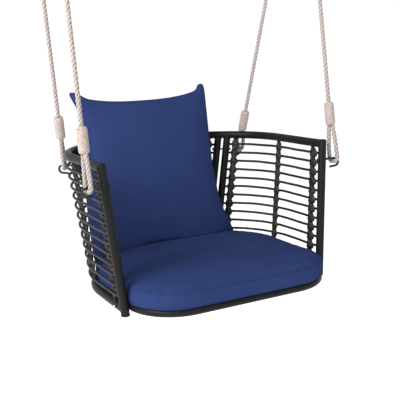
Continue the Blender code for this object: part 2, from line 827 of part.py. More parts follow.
def main():
    clear_scene()
    hang_point = empty("hang_point", (0, 0, 0))
    heads_y = [rope_head(end_name, 1).y for end_name in HOOK_PLACES]
    seat = empty("seat", (0, -sum(heads_y) / 2, -HANG_HEIGHT), hang_point)
    panels = {side_name: side_panel(side_name, seat) for side_name in SIDES}
    back = back_panel(seat)
    frame = seat_frame(seat)
    frame_cutter = frame_ring("seat_frame_cutter", FRAME_R + 2 * GAP, seat)
    for bar_name in SEAT_BARS:
        combine(seat_bar(bar_name, seat), frame_cutter)
    seat_weave(seat)
    fit_panels(panels, back, seat)
    fit_fasteners(panels, back, frame, seat)
    seat_cushion(seat)
    back_cushion(seat)
    for end_name in HOOK_PLACES:
        for side_name in SIDES:
            rope(end_name, side_name, seat)
            link(end_name, side_name, seat)


main()
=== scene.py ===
"""The looks of a hanging porch swing seat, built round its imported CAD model.

The tubes, wicker strands, lashings, ropes and cushions are made here in their fine shapes.
Metres, in the frame's own axes: the origin is midway between the hanging links, -Y is the front.
"""

import json
import math
from collections import namedtuple

import bpy
import numpy as np
from mathutils import Matrix, Vector
from mathutils.bvhtree import BVHTree


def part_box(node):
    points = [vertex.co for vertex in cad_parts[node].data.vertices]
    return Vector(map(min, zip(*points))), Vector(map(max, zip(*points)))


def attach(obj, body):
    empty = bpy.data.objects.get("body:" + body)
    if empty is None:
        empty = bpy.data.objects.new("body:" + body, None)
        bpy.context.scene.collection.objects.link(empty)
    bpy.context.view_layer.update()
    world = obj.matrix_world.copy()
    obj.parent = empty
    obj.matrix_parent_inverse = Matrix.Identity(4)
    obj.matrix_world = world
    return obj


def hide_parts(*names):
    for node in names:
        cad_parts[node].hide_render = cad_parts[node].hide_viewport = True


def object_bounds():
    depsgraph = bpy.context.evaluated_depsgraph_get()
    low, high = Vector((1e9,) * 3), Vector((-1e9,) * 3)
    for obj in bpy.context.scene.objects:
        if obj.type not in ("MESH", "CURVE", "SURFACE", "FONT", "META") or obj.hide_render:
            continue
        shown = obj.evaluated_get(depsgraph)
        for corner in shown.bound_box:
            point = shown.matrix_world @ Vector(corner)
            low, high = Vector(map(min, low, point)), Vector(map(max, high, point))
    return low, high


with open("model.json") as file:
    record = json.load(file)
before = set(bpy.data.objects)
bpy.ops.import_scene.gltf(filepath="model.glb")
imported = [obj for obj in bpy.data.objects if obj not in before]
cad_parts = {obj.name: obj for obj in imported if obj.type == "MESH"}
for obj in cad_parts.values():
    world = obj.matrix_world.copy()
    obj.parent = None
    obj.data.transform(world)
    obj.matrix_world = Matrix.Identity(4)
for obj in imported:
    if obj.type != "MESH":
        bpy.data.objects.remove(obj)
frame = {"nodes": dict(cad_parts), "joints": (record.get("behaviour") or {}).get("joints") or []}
CAD_LOW, CAD_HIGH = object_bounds()


# -------- camera
CAMERA_PLACE = Vector((-1.1234, -2.1779, -0.3800))
CAMERA_YAW = math.radians(28.01)  # from +Y towards +X
CAMERA_DOWN = math.radians(11.79)
CAMERA_ROLL = math.radians(-2.01)
CAMERA_LENS = 64.34
SENSOR = 36.0


def make_camera():
    data = bpy.data.cameras.new("camera")
    data.lens = CAMERA_LENS
    data.sensor_width = SENSOR
    camera = bpy.data.objects.new("camera", data)
    bpy.context.scene.collection.objects.link(camera)
    level = math.cos(CAMERA_DOWN)
    ahead = Vector((math.sin(CAMERA_YAW) * level, math.cos(CAMERA_YAW) * level, -math.sin(CAMERA_DOWN)))
    right = Vector((math.cos(CAMERA_YAW), -math.sin(CAMERA_YAW), 0.0))
    up = right.cross(ahead)
    rolled_right = right * math.cos(CAMERA_ROLL) + up * math.sin(CAMERA_ROLL)
    rolled_up = up * math.cos(CAMERA_ROLL) - right * math.sin(CAMERA_ROLL)
    turn = Matrix((rolled_right, rolled_up, -ahead)).transposed()
    camera.matrix_world = Matrix.Translation(CAMERA_PLACE) @ turn.to_4x4()
    bpy.context.scene.camera = camera


# -------- materials
def new_material(name, roughness, **values):
    """A principled material; values are the shader's sockets, with _ for each space."""
    made = bpy.data.materials.new(name)
    made.use_nodes = True
    shader = made.node_tree.nodes["Principled BSDF"]
    shader.inputs["Roughness"].default_value = roughness
    for socket, value in values.items():
        shader.inputs[socket.replace("_", " ")].default_value = value
    return made


def add_node(material, kind, **settings):
    node = material.node_tree.nodes.new(kind)
    for name, value in settings.items():
        if hasattr(node, name):
            setattr(node, name, value)
        else:
            node.inputs[name.replace("_", " ")].default_value = value
    return node


def join(material, output, target):
    material.node_tree.links.new(output, target)


def coordinates(material, kind, scale=(1, 1, 1)):
    """Texture coordinates of the kind Object or UV, scaled."""
    source = add_node(material, "ShaderNodeTexCoord")
    mapping = add_node(material, "ShaderNodeMapping", Scale=scale)
    join(material, source.outputs[kind], mapping.inputs["Vector"])
    return mapping.outputs["Vector"]


def noise(material, vector, scale, detail=3.0):
    made = add_node(material, "ShaderNodeTexNoise", Scale=scale, Detail=detail)
    join(material, vector, made.inputs["Vector"])
    return made.outputs["Fac"]


def maths(material, operation, first, second=None):
    made = add_node(material, "ShaderNodeMath", operation=operation)
    for socket, value in zip(made.inputs, (first, second)):
        if isinstance(value, (int, float)):
            socket.default_value = value
        elif value is not None:
            join(material, value, socket)
    return made.outputs[0]


def ramp(material, factor, stops):
    """A colour ramp through (place, colour) stops."""
    made = add_node(material, "ShaderNodeValToRGB")
    elements = made.color_ramp.elements
    for element, (place, color) in zip(elements, (stops[0], stops[-1])):
        element.position = place
        element.color = (*color, 1.0)
    for place, color in stops[1:-1]:
        elements.new(place).color = (*color, 1.0)
    join(material, factor, made.inputs["Fac"])
    return made.outputs["Color"]


def paint(material, color):
    join(material, color, material.node_tree.nodes["Principled BSDF"].inputs["Base Color"])


def roughen(material, height, strength, distance):
    """Adds height as a bump on top of any bump there is."""
    shader = material.node_tree.nodes["Principled BSDF"]
    bump = add_node(material, "ShaderNodeBump", Strength=strength, Distance=distance)
    join(material, height, bump.inputs["Height"])
    if shader.inputs["Normal"].links:
        join(material, shader.inputs["Normal"].links[0].from_socket, bump.inputs["Normal"])
    join(material, bump.outputs["Normal"], shader.inputs["Normal"])


def vary_roughness(material, factor, low, high):
    made = add_node(material, "ShaderNodeMapRange", To_Min=low, To_Max=high)
    join(material, factor, made.inputs["Value"])
    join(material, made.outputs["Result"], material.node_tree.nodes["Principled BSDF"].inputs["Roughness"])


def powder_coat():
    made = new_material("powder_coat", 0.38, Specular_IOR_Level=0.10)
    place = coordinates(made, "Object")
    patches = noise(made, place, 14.0)
    paint(made, ramp(made, patches, [(0.3, (0.009, 0.0095, 0.0095)), (0.7, (0.012, 0.0125, 0.012))]))
    vary_roughness(made, noise(made, place, 60.0), 0.32, 0.44)
    roughen(made, noise(made, place, 1400.0, 2.0), 0.25, 0.0003)
    return made


WICKER_TONES = [(0.35, (0.013, 0.012, 0.013)), (0.55, (0.020, 0.017, 0.017)), (0.75, (0.050, 0.034, 0.032))]
# The thinner strands of the lashings show more brown.
BROWN_TONES = [(0.35, (0.010, 0.009, 0.009)), (0.55, (0.020, 0.014, 0.013)), (0.75, (0.070, 0.038, 0.034))]


def strand_material(name, tones):
    """Resin strands: fine grooves along the strand, brown where the colour has run thin."""
    made = new_material(name, 0.5, Specular_IOR_Level=0.25)
    place = coordinates(made, "Object")
    patches = noise(made, place, 38.0)
    paint(made, ramp(made, patches, tones))
    vary_roughness(made, patches, 0.42, 0.60)
    around = coordinates(made, "UV", (14.0, 2.0, 1.0))
    roughen(made, noise(made, around, 2.0, 1.0), 0.5, 0.0006)
    return made


def blue_fabric():
    """Woven polyester: two crossed sets of threads, with a faint mottle and sheen."""
    made = new_material("blue_fabric", 0.9, Sheen_Weight=0.01, Sheen_Roughness=0.5, Specular_IOR_Level=0.0)
    place = coordinates(made, "Object")
    patches = noise(made, place, 9.0, 4.0)
    tones = [(0.3, (0.0213, 0.0361, 0.113)), (0.7, (0.0242, 0.0410, 0.127))]
    paint(made, ramp(made, patches, tones))
    threads = {}
    for axis, direction in (("warp", "X"), ("weft", "Z")):
        wave = add_node(made, "ShaderNodeTexWave", bands_direction=direction, Scale=420.0, Distortion=1.5)
        join(made, place, wave.inputs["Vector"])
        threads[axis] = wave.outputs["Fac"]
    weave = maths(made, "MULTIPLY", threads["warp"], threads["weft"])
    roughen(made, weave, 0.25, 0.0004)
    creases = noise(made, place, 16.0, 3.0)
    roughen(made, creases, 0.35, 0.006)
    return made


ROPE_LAY = 0.042  # one strand's full turn round the rope
STRANDS_IN_ROPE = 3


def rope_fibre():
    """Laid rope: the grooves between its strands are painted darker as shade, and yarns lie across each
    strand.
    """
    made = new_material("rope_fibre", 0.85, Sheen_Weight=0.2, Specular_IOR_Level=0.2)
    split = add_node(made, "ShaderNodeSeparateXYZ")
    join(made, coordinates(made, "UV"), split.inputs["Vector"])
    around, along = split.outputs["X"], split.outputs["Y"]
    twist = maths(made, "MULTIPLY", along, STRANDS_IN_ROPE / ROPE_LAY)
    strand = maths(made, "SUBTRACT", maths(made, "MULTIPLY", around, float(STRANDS_IN_ROPE)), twist)
    # painted shade: the tone is darkest in the grooves between the strands and lightest on their crowns,
    # where the strands shade each other
    painted_groove_shade = maths(made, "ABSOLUTE", maths(made, "COSINE", maths(made, "MULTIPLY", strand, math.pi)))
    fleck = noise(made, coordinates(made, "Object"), 420.0, 2.0)
    tone = maths(made, "ADD", maths(made, "MULTIPLY", painted_groove_shade, 0.45), maths(made, "MULTIPLY", fleck, 0.70))
    tones = [(0.30, (0.08, 0.06, 0.05)), (0.48, (0.30, 0.25, 0.23)), (0.75, (0.44, 0.385, 0.36))]
    paint(made, ramp(made, tone, tones))
    yarns_round, yarns_along = maths(made, "MULTIPLY", around, 80.0), maths(made, "MULTIPLY", along, 2600.0)
    roughen(made, maths(made, "SINE", maths(made, "ADD", yarns_round, yarns_along)), 0.5, 0.0004)
    return made


def twine():
    """The thin twine of the whippings: its turns are in the shape, its fibres here."""
    made = new_material("twine", 0.9, Sheen_Weight=0.2, Specular_IOR_Level=0.2)
    place = coordinates(made, "Object")
    fleck = noise(made, place, 330.0, 3.0)
    tones = [(0.36, (0.13, 0.10, 0.08)), (0.44, (0.40, 0.33, 0.30)), (0.75, (0.52, 0.44, 0.41))]
    paint(made, ramp(made, fleck, tones))
    roughen(made, noise(made, place, 900.0, 2.0), 0.5, 0.0004)
    return made


def plain_steel(name, low, high, roughness, metallic):
    made = new_material(name, roughness, Metallic=metallic)
    place = coordinates(made, "Object")
    paint(made, ramp(made, noise(made, place, 120.0), [(0.3, low), (0.7, high)]))
    vary_roughness(made, noise(made, place, 240.0), roughness - 0.06, roughness + 0.10)
    roughen(made, noise(made, place, 1500.0, 2.0), 0.15, 0.0002)
    return made


def black_plastic():
    made = new_material("black_plastic", 0.6)
    place = coordinates(made, "Object")
    paint(made, ramp(made, noise(made, place, 60.0), [(0.3, (0.010,) * 3), (0.7, (0.016,) * 3)]))
    roughen(made, noise(made, place, 1100.0, 2.0), 0.3, 0.0003)
    return made


MATERIALS = {
    "powder_coat": powder_coat(),
    "wicker": strand_material("wicker", WICKER_TONES),
    "brown_wicker": strand_material("brown_wicker", BROWN_TONES),
    "blue_fabric": blue_fabric(),
    "rope_fibre": rope_fibre(),
    "twine": twine(),
    "black_steel": plain_steel("black_steel", (0.012,) * 3, (0.022,) * 3, 0.36, 0.4),
    "bright_steel": plain_steel("bright_steel", (0.28,) * 3, (0.40,) * 3, 0.28, 1.0),
    "black_plastic": black_plastic(),
}


# -------- lines and bars
def distances(points):
    """How far along the line each of its points is."""
    return np.r_[0.0, np.cumsum(np.linalg.norm(np.diff(points, axis=0), axis=1))]


def even_line(points, step):
    """The same line with a point about every step."""
    points = np.asarray(points, float)
    travelled = distances(points)
    count = max(2, round(travelled[-1] / step) + 1)
    places = np.linspace(0.0, travelled[-1], count)
    return np.stack([np.interp(places, travelled, points[:, i]) for i in range(3)], axis=1)


def line_length(points):
    return float(np.linalg.norm(np.diff(np.asarray(points, float), axis=0), axis=1).sum())


def unit(vectors):
    return vectors / np.linalg.norm(vectors, axis=-1, keepdims=True)


def directions(points, closed):
    ahead, behind = np.roll(points, -1, axis=0), np.roll(points, 1, axis=0)
    if not closed:
        ahead[-1], behind[0] = points[-1], points[0]
    return unit(ahead - behind)


def carried_normals(tangents):
    """A direction square to the line at each point, carried along it without twisting."""
    least = np.eye(3)[np.argmin(np.abs(tangents[0]))]
    normal, found = least, []
    for tangent in tangents:
        normal = unit(normal - tangent * normal.dot(tangent))
        found.append(normal)
    return np.array(found)


Shape = namedtuple("Shape", "points faces uvs")
SHARP_ANGLE = math.radians(50)


def bar(points, radius, sides=16, closed=False, normals=None, flat=1.0):
    """A bar along points. radius is a number, an array, or a function of (turn, distance).

    normals fixes which way the bar faces, and flat is its thickness that way as a share of its width.
    """
    points = np.asarray(points, float)
    tangents = directions(points, closed)
    if normals is None:
        normals = carried_normals(tangents)
    normals = unit(normals - tangents * (normals * tangents).sum(axis=1, keepdims=True))
    across = np.cross(tangents, normals)
    turns = 2 * np.pi * np.arange(sides) / sides
    travelled = distances(points)
    if callable(radius):
        reach = radius(turns[None, :], travelled[:, None])
    else:
        reach = np.broadcast_to(np.reshape(radius, (-1, 1)), (len(points), sides))
    spokes = normals[:, None] * (np.cos(turns) * flat)[None, :, None]
    spokes = spokes + across[:, None] * np.sin(turns)[None, :, None]
    ring_points = points[:, None] + spokes * reach[..., None]
    rows = len(points) if closed else len(points) - 1
    faces, uvs = [], []
    for i in range(rows):
        low, high = i * sides, ((i + 1) % len(points)) * sides
        v0, v1 = travelled[i], travelled[i] if i + 1 == len(points) else travelled[i + 1]
        for k in range(sides):
            after = (k + 1) % sides
            faces.append((low + k, high + k, high + after, low + after))
            u0, u1 = k / sides, (k + 1) / sides
            uvs += [(u0, v0), (u0, v1), (u1, v1), (u1, v0)]
    if not closed:
        last = (len(points) - 1) * sides
        faces.append(tuple(range(sides)))
        faces.append(tuple(last + k for k in reversed(range(sides))))
        uvs += [(0.5, 0.0)] * (2 * sides)
    return Shape(ring_points.reshape(-1, 3), faces, uvs)


def make_piece(name, shapes, look, body, replaced=()):
    """One mesh object from several shapes, painted and riding on a CAD body."""
    points, faces, uvs = [], [], []
    for shape in shapes:
        start = len(points)
        points.extend(shape.points.tolist())
        faces.extend(tuple(start + k for k in face) for face in shape.faces)
        uvs.extend(shape.uvs)
    mesh = bpy.data.meshes.new(name)
    mesh.from_pydata(points, [], faces)
    layer = mesh.uv_layers.new(name="along")
    layer.data.foreach_set("uv", np.array(uvs, np.float32).ravel())
    mesh.shade_smooth()
    mesh.set_sharp_from_angle(angle=SHARP_ANGLE)
    made = bpy.data.objects.new(name, mesh)
    bpy.context.scene.collection.objects.link(made)
    dress(made, look, body, replaced)
    return made


def dress(piece, look, body, replaced=()):
    piece.data.materials.clear()
    piece.data.materials.append(MATERIALS[look])
    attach(piece, body)
    if replaced:
        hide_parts(*replaced)


# The CAD nodes that are shown as they are, by how their names start.
NODE_LOOKS = {
    "powder_coat": ("seat_bar",), "black_steel": ("hook", "joint_bolt"),
    "bright_steel": ("link", "seat_bolt"), "black_plastic": ("left_foot_cap", "right_foot_cap"),
}


def dress_nodes():
    for name, node in frame["nodes"].items():
        for look, starts in NODE_LOOKS.items():
            if name.startswith(starts):
                node.data.materials.clear()
                node.data.materials.append(MATERIALS[look])


# -------- the panels' surface, from the frame
SIDES = {"left": -1, "right": 1}
Edge = namedtuple("Edge", "half_width front back radius z")
CORNER_RADIUS = {"top": 0.292, "bottom": 0.282}
POST_R = 0.0135
STAY_R = 0.006
HOOK_STAY_R = 0.0075
STRAND_R = 0.0045
# A place on a panel is its distance from the front post along the top and the bottom rail.
SIDE_STAYS = {"front": (0.052, 0.062), "middle": (0.257, 0.272), "rear": (0.463, 0.477)}
FRONT_POST = (0.0, 0.0)
SIDE_REAR_POST = (0.498, 0.508)
BACK_POST = (0.533, 0.543)
RAIL_MEETING = (0.5155, 0.5255)
BACK_OUTER_STAY = (0.568, 0.576)
BACK_INNER_STAY_X = 0.085


def edge_of(height_name):
    """The plan outline of the top or bottom rails' axis."""
    low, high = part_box(f"back_{height_name}_rail")
    radius = (high.z - low.z) / 2
    post_low, post_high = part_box("right_front_post")
    front = post_high.y - POST_R if height_name == "top" else post_low.y + POST_R
    half_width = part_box(f"right_{height_name}_rail")[1].x - radius
    return Edge(half_width, front, high.y - radius, CORNER_RADIUS[height_name], (low.z + high.z) / 2)


TOP, BOTTOM = edge_of("top"), edge_of("bottom")
EDGES = {"top": (TOP, 0), "bottom": (BOTTOM, 1)}  # with each edge's index in a place
RAIL_R = (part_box("back_top_rail")[1].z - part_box("back_top_rail")[0].z) / 2


def on_edge(edge, along, side=1):
    """The point at this arc length from the front post: straight side, round corner, straight back."""
    straight = edge.back - edge.radius - edge.front
    corner = edge.radius * math.pi / 2
    if along <= straight:
        x, y = edge.half_width, edge.front + along
    elif along <= straight + corner:
        turn = (along - straight) / edge.radius
        x = edge.half_width - edge.radius + edge.radius * math.cos(turn)
        y = edge.back - edge.radius + edge.radius * math.sin(turn)
    else:
        x = edge.half_width - edge.radius - (along - straight - corner)
        y = edge.back
    return np.array((side * x, y, edge.z))


def edge_length(edge):
    straight = edge.back - edge.radius - edge.front
    return straight + edge.radius * math.pi / 2 + edge.half_width - edge.radius


def outward(along, side=1):
    """The level direction square to the top outline, away from the sitter."""
    straight = TOP.back - TOP.radius - TOP.front
    turn = min(max((along - straight) / TOP.radius, 0.0), math.pi / 2)
    return np.array((side * math.cos(turn), math.sin(turn), 0.0))


def on_panel(place, height, side=1):
    top, bottom = on_edge(TOP, place[0], side), on_edge(BOTTOM, place[1], side)
    share = (height - BOTTOM.z) / (TOP.z - BOTTOM.z)
    return bottom + (top - bottom) * share


def place_between(start, end, share):
    return tuple(a + (b - a) * share for a, b in zip(start, end))


def from_middle(x):
    """The place on the back panel's right half at distance x from its middle."""
    return tuple(edge_length(edge) - x for edge in (TOP, BOTTOM))


# -------- ropes
ROPE_R = 0.007
HOOK_R = 0.004
LINK_R = 0.004
WHIPPING_R = 0.0165
ROPE_LEAN = {"front": (0.0, 0.142), "back": (0.116, -0.203)}  # outwards, backwards, by height
EYE_LENGTH = {"lower": 0.100, "upper": 0.066}  # from the bar to the whipping
LONGER_EYE = {"front_right": 0.014, "back_right": -0.032}  # added to these ropes' lower eyes
WHIPPING_LENGTH = {"lower": 0.076, "upper": 0.060}
EYE_HALF_WIDTH = 0.014
EYE_SEAT = EYE_HALF_WIDTH - ROPE_R - LINK_R - 0.0005
EYE_TWIST = math.radians(12)  # from square to the hook
TURNED_EYE = {"front_right": math.radians(30)}  # this rope's lower eye is twisted further
EYE_BEND_POINTS = 8
EYE_LEG_POINTS = 16
ROPE_STEP = 0.002
ROPE_SIDES = 18
TWINE_PITCH = 0.0021
TWINE_DEPTH = 0.00045


def rope_ends(end_name, side_name):
    """Where the rope's lower eye sits on its hook, and where its upper eye hangs on its link."""
    joints = {joint["name"]: joint for joint in frame["joints"]}
    head = np.array(joints[f"rope_{end_name}_{side_name}_swing"]["pos_m"], float)
    foot_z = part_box(f"hook_{end_name}_{side_name}")[1].z - HOOK_R
    out, back = ROPE_LEAN[end_name]
    lean = np.array((SIDES[side_name] * out, back, 1.0))
    return head - lean * (head[2] - foot_z), head


def eye_side(bar_point, along, across, length):
    """Half of a rope eye: from under the bar round to one leg, then up into the whipping."""
    middle = bar_point + along * EYE_SEAT
    quarter = [math.pi / 2 * k / EYE_BEND_POINTS for k in range(EYE_BEND_POINTS)]
    points = [middle + (across * math.sin(t) - along * math.cos(t)) * EYE_HALF_WIDTH for t in quarter]
    rise_end = length - EYE_SEAT
    for k in range(EYE_LEG_POINTS + 1):
        share = k / EYE_LEG_POINTS
        spread = EYE_HALF_WIDTH + (ROPE_R * 0.92 - EYE_HALF_WIDTH) * share ** 1.5
        points.append(middle + along * rise_end * share + across * spread)
    return points


def rope_section(turn, distance):
    """Three strands laid round each other."""
    phase = STRANDS_IN_ROPE * (turn - 2 * np.pi * distance / ROPE_LAY) / 2
    return ROPE_R * (0.80 + 0.24 * np.abs(np.cos(phase)) ** 0.8)


def whipping(start, end):
    """Tight turns of twine round the two parts of the rope, a little smaller at both ends."""
    length = line_length([start, end])
    line = even_line([start, end], 0.0005)

    def section(turn, distance):
        ridge = np.abs(np.cos((2 * np.pi * distance / TWINE_PITCH - turn) / 2)) * TWINE_DEPTH
        near_end = np.minimum(distance, length - distance)
        rounding = 1 - 0.16 * np.exp(-((near_end / 0.004) ** 2))
        return (WHIPPING_R - TWINE_DEPTH + ridge) * rounding

    return bar(line, section, 20)


def rope(end_name, side_name):
    """One rope with its two spliced eyes and whippings."""
    body = f"rope_{end_name}_{side_name}"
    foot, head = rope_ends(end_name, side_name)
    along = unit(head - foot)
    length = line_length([foot, head])
    stay_along = {"front": 0.0, "back": SIDE_STAYS["rear"][0]}[end_name]
    level = Vector((0, 0, 1)).cross(Vector(outward(stay_along, SIDES[side_name])))
    twist = TURNED_EYE.get(f"{end_name}_{side_name}", EYE_TWIST)
    level.rotate(Matrix.Rotation(twist, 3, "Z"))
    eye_length = dict(EYE_LENGTH)
    eye_length["lower"] += LONGER_EYE.get(f"{end_name}_{side_name}", 0.0)
    lower_across = unit(np.array(level) - along * np.array(level).dot(along))
    upper_across = unit(np.array((0.0, 1.0, 0.0)) - along * along[1])

    lower = eye_side(foot, along, lower_across, eye_length["lower"])
    upper = eye_side(head, -along, upper_across, eye_length["upper"])
    run_start = foot + along * (eye_length["lower"] + WHIPPING_LENGTH["lower"])
    run_end = head - along * (eye_length["upper"] + WHIPPING_LENGTH["upper"])
    path = even_line([*lower, run_start, run_end, *reversed(upper)], ROPE_STEP)
    main = make_piece(f"{body}_cord", [bar(path, rope_section, ROPE_SIDES)], "rope_fibre", body, [body])

    for name, bar_point, direction, across in (
        ("lower", foot, along, lower_across),
        ("upper", head, -along, upper_across),
    ):
        leg = eye_side(bar_point, direction, -across, eye_length[name])
        start = bar_point + direction * eye_length[name]
        end = start + direction * WHIPPING_LENGTH[name]
        leg.append(start + direction * 0.01 - across * ROPE_R * 0.8)
        leg_shape = bar(even_line(leg, ROPE_STEP), rope_section, ROPE_SIDES)
        make_piece(f"{body}_{name}_eye", [leg_shape], "rope_fibre", body)
        make_piece(f"{body}_{name}_whipping", [whipping(start, end)], "twine", body)


# -------- tubes
TUBE_SIDES = 28
WELD_R = 0.0016
FRAME_TUBE_R = (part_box("seat_frame")[1].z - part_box("seat_frame")[0].z) / 2
SIDE_RAIL_POINTS = 60
BACK_RAIL_POINTS = 50  # from the end to the middle
RAIL_END_GAP = 0.002
RAIL_START = 0.006  # from the front post's axis, inside its wall
POST_ROUNDING = 0.006  # how far below its top the front post starts to round over


def weld(center, axis, across, small, big):
    """A welded seam where a tube of radius small, along axis, meets a tube of radius big at center."""
    third = np.cross(axis, across)
    points = []
    for k in range(48):
        turn = 2 * math.pi * k / 48
        aside = small * math.sin(turn)
        ahead = math.sqrt(max(big ** 2 - aside ** 2, 0.0))
        points.append(center + axis * ahead + across * aside + third * small * math.cos(turn))

    def ripple(turn, distance):
        return WELD_R * (0.85 + 0.15 * np.cos(distance * 2 * np.pi / 0.004)) + 0 * turn

    return bar(points, ripple, 8, closed=True)


def rail(side_name, height_name):
    side, (edge, index) = SIDES[side_name], EDGES[height_name]
    places = np.linspace(RAIL_START, RAIL_MEETING[index] - RAIL_END_GAP / 2, SIDE_RAIL_POINTS)
    name = f"{side_name}_{height_name}_rail"
    tube = bar([on_edge(edge, place, side) for place in places], RAIL_R, TUBE_SIDES)
    front = on_panel(FRONT_POST, edge.z, side)
    seam = weld(front, np.array((0.0, 1.0, 0.0)), np.array((1.0, 0.0, 0.0)), RAIL_R * 0.94, POST_R)
    make_piece(f"{name}_tube", [tube, seam], "powder_coat", "seat", [name])


def back_rail(height_name):
    edge, index = EDGES[height_name]
    places = np.linspace(RAIL_MEETING[index] + RAIL_END_GAP / 2, edge_length(edge), BACK_RAIL_POINTS)
    right = [on_edge(edge, place, 1) for place in places]
    left = [point * (-1, 1, 1) for point in reversed(right[:-1])]
    name = f"back_{height_name}_rail"
    make_piece(f"{name}_tube", [bar(right + left, RAIL_R, TUBE_SIDES)], "powder_coat", "seat", [name])


def front_post(side_name):
    """Its top is rounded over."""
    name = f"{side_name}_front_post"
    foot = on_panel(FRONT_POST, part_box(name)[0].z + 0.0005, SIDES[side_name])
    top = on_panel(FRONT_POST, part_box(name)[1].z - POST_ROUNDING, SIDES[side_name])
    axis = unit(top - foot)
    turns = [math.radians(a) for a in range(15, 90, 14)]
    points = [foot, foot + axis * 0.1, top, *(top + axis * 0.0075 * math.sin(t) for t in turns)]
    radii = [POST_R] * 3 + [POST_R * math.cos(t) ** 0.6 for t in turns]
    make_piece(f"{name}_tube", [bar(points, np.array(radii), TUBE_SIDES)], "powder_coat", "seat", [name])


def upright(name, place, side, radius):
    """A tube between the two rails, with a weld at each."""
    low, high = on_panel(place, BOTTOM.z, side), on_panel(place, TOP.z, side)
    axis = unit(high - low)
    out = outward(place[0], side)
    tube = bar([low, high], radius, TUBE_SIDES)
    seams = [weld(low, axis, out, radius, RAIL_R), weld(high, -axis, out, radius, RAIL_R)]
    make_piece(f"{name}_tube", [tube, *seams], "powder_coat", "seat", [name])


def seat_outline(half, front, back, front_radius, rear_radius, steps=28):
    """A closed level outline with round corners, from the front right corner round."""
    corners = (
        (half - front_radius, front + front_radius, front_radius, -math.pi / 2),
        (half - rear_radius, back - rear_radius, rear_radius, 0.0),
        (rear_radius - half, back - rear_radius, rear_radius, math.pi / 2),
        (front_radius - half, front + front_radius, front_radius, math.pi),
    )
    points = []
    for x, y, radius, start in corners:
        for k in range(steps + 1):
            turn = start + math.pi / 2 * k / steps
            points.append((x + radius * math.cos(turn), y + radius * math.sin(turn), 0.0))
    return np.array(points)


FRONT_RADIUS = 0.150
REAR_RADIUS = 0.255


def frame_outline(grow=0.0):
    """The seat frame's axis, moved outwards by grow."""
    low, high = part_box("seat_frame")
    inset = FRAME_TUBE_R - grow
    half, front, back = high.x - inset, low.y + inset, high.y - inset
    return seat_outline(half, front, back, FRONT_RADIUS + grow, REAR_RADIUS + grow)


def seat_frame():
    low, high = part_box("seat_frame")
    points = frame_outline() + (0.0, 0.0, (low.z + high.z) / 2)
    ring = bar(points, FRAME_TUBE_R, TUBE_SIDES, closed=True)
    make_piece("seat_frame_tube", [ring], "powder_coat", "seat", ["seat_frame"])


# -------- wicker
STRANDS = 12
STRAND_STEP = 0.006
STRAND_START = POST_R * 0.6  # from a post's axis, inside its wall
CAD_STRAND_R = 0.0035
WRAP_WIDTH = 0.0060
WRAP_THICKNESS = 0.0020
WINDING_THICKNESS = 0.0020
WINDING_BULGE = {"front": 0.0120, "middle": 0.0075, "rear": 0.0060, "back": 0.0050}
WINDING_LEAN = 0.55  # share of the bulge by which it sits forwards of the stay
WINDING_RIDGE = 0.0005  # height of the ridge that each turn makes
WINDING_STEPS = 24
RAMP = 0.028  # length over which a strand comes out from a post to the stays' outer side


def strand_heights(node):
    low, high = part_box(node)
    return np.linspace(low.z + CAD_STRAND_R, high.z - CAD_STRAND_R, STRANDS)


def strand_offset(along, start, end, full):
    """How far outside the panel's middle surface the strand runs."""
    near = min(abs(along - start), abs(end - along)) / RAMP
    share = min(near, 1.0)
    return full * (0.15 + 0.85 * share * share * (3 - 2 * share))


def strand(start, end, height, index, side, full):
    """One strand from post to post, outside the stays, with a slight waver of its own."""
    steps = round((end[0] - start[0]) / STRAND_STEP)
    points = []
    for k in range(steps + 1):
        place = place_between(start, end, k / steps)
        waver = 0.0004 * math.sin(place[0] * 31 + index * 2.3)
        waver += 0.0002 * math.sin(place[0] * 67 + index * 5.1)
        offset = strand_offset(place[0], start[0], end[0], full)
        points.append(on_panel(place, height + waver, side) + outward(place[0], side) * offset)
    return points


def winding_width(levels, radius, bulge):
    """Half the width of the winding round a stay: widest where it holds a level strand."""
    away = 2 * np.abs(levels - np.round(levels))
    return radius + WINDING_THICKNESS + bulge * (1 - away) ** 1.3


def winding_levels(heights):
    """Places along a stay, counted in strands from the lowest one."""
    return np.linspace(-0.5, len(heights) - 0.5, len(heights) * WINDING_STEPS + 1)


def winding_axis(place, heights, levels, widths, side):
    pitch = heights[1] - heights[0]
    points = []
    for level, width in zip(levels, widths):
        forward = (width - widths.min()) * WINDING_LEAN
        points.append(on_panel((place[0] - forward, place[1] - forward), heights[0] + level * pitch, side))
    return np.array(points)


def winding(place, radius, heights, side, bulge):
    """The strand wound closely round a stay, with a ridge for each turn."""
    levels = winding_levels(heights)
    widths = winding_width(levels, radius, bulge)
    points = winding_axis(place, heights, levels, widths, side)
    normals = np.tile(outward(place[0], side), (len(points), 1))
    travelled = distances(points)
    depth = radius + WINDING_THICKNESS / 2

    def section(turn, distance):
        width = np.interp(distance, travelled, widths)
        ridge = WINDING_RIDGE * np.abs(np.cos(np.pi * distance / WRAP_WIDTH - turn / 2))
        return 1 / np.hypot(np.cos(turn) / depth, np.sin(turn) / width) + ridge

    return bar(points, section, 16, normals=normals)


def lashing(place, radius, heights, side, bulge, direction):
    """A flat strand that winds along a stay and crosses its partner midway between the level strands."""
    levels = winding_levels(heights)
    widths = winding_width(levels, radius, bulge)
    axis = winding_axis(place, heights, levels, widths, side)
    out = outward(place[0], side)
    along = np.cross(unit(axis[-1] - axis[0]), out)
    turns = direction * 2 * np.pi * (levels - 0.5)
    deep, wide = radius + WINDING_THICKNESS, widths + WRAP_THICKNESS / 4
    spokes = np.outer(np.cos(turns), out) + np.outer(np.sin(turns), along)
    points = axis + np.outer(np.cos(turns) * deep, out) + np.outer(np.sin(turns) * wide, along)
    return bar(points, WRAP_WIDTH / 2, 8, normals=spokes, flat=WRAP_THICKNESS / WRAP_WIDTH)


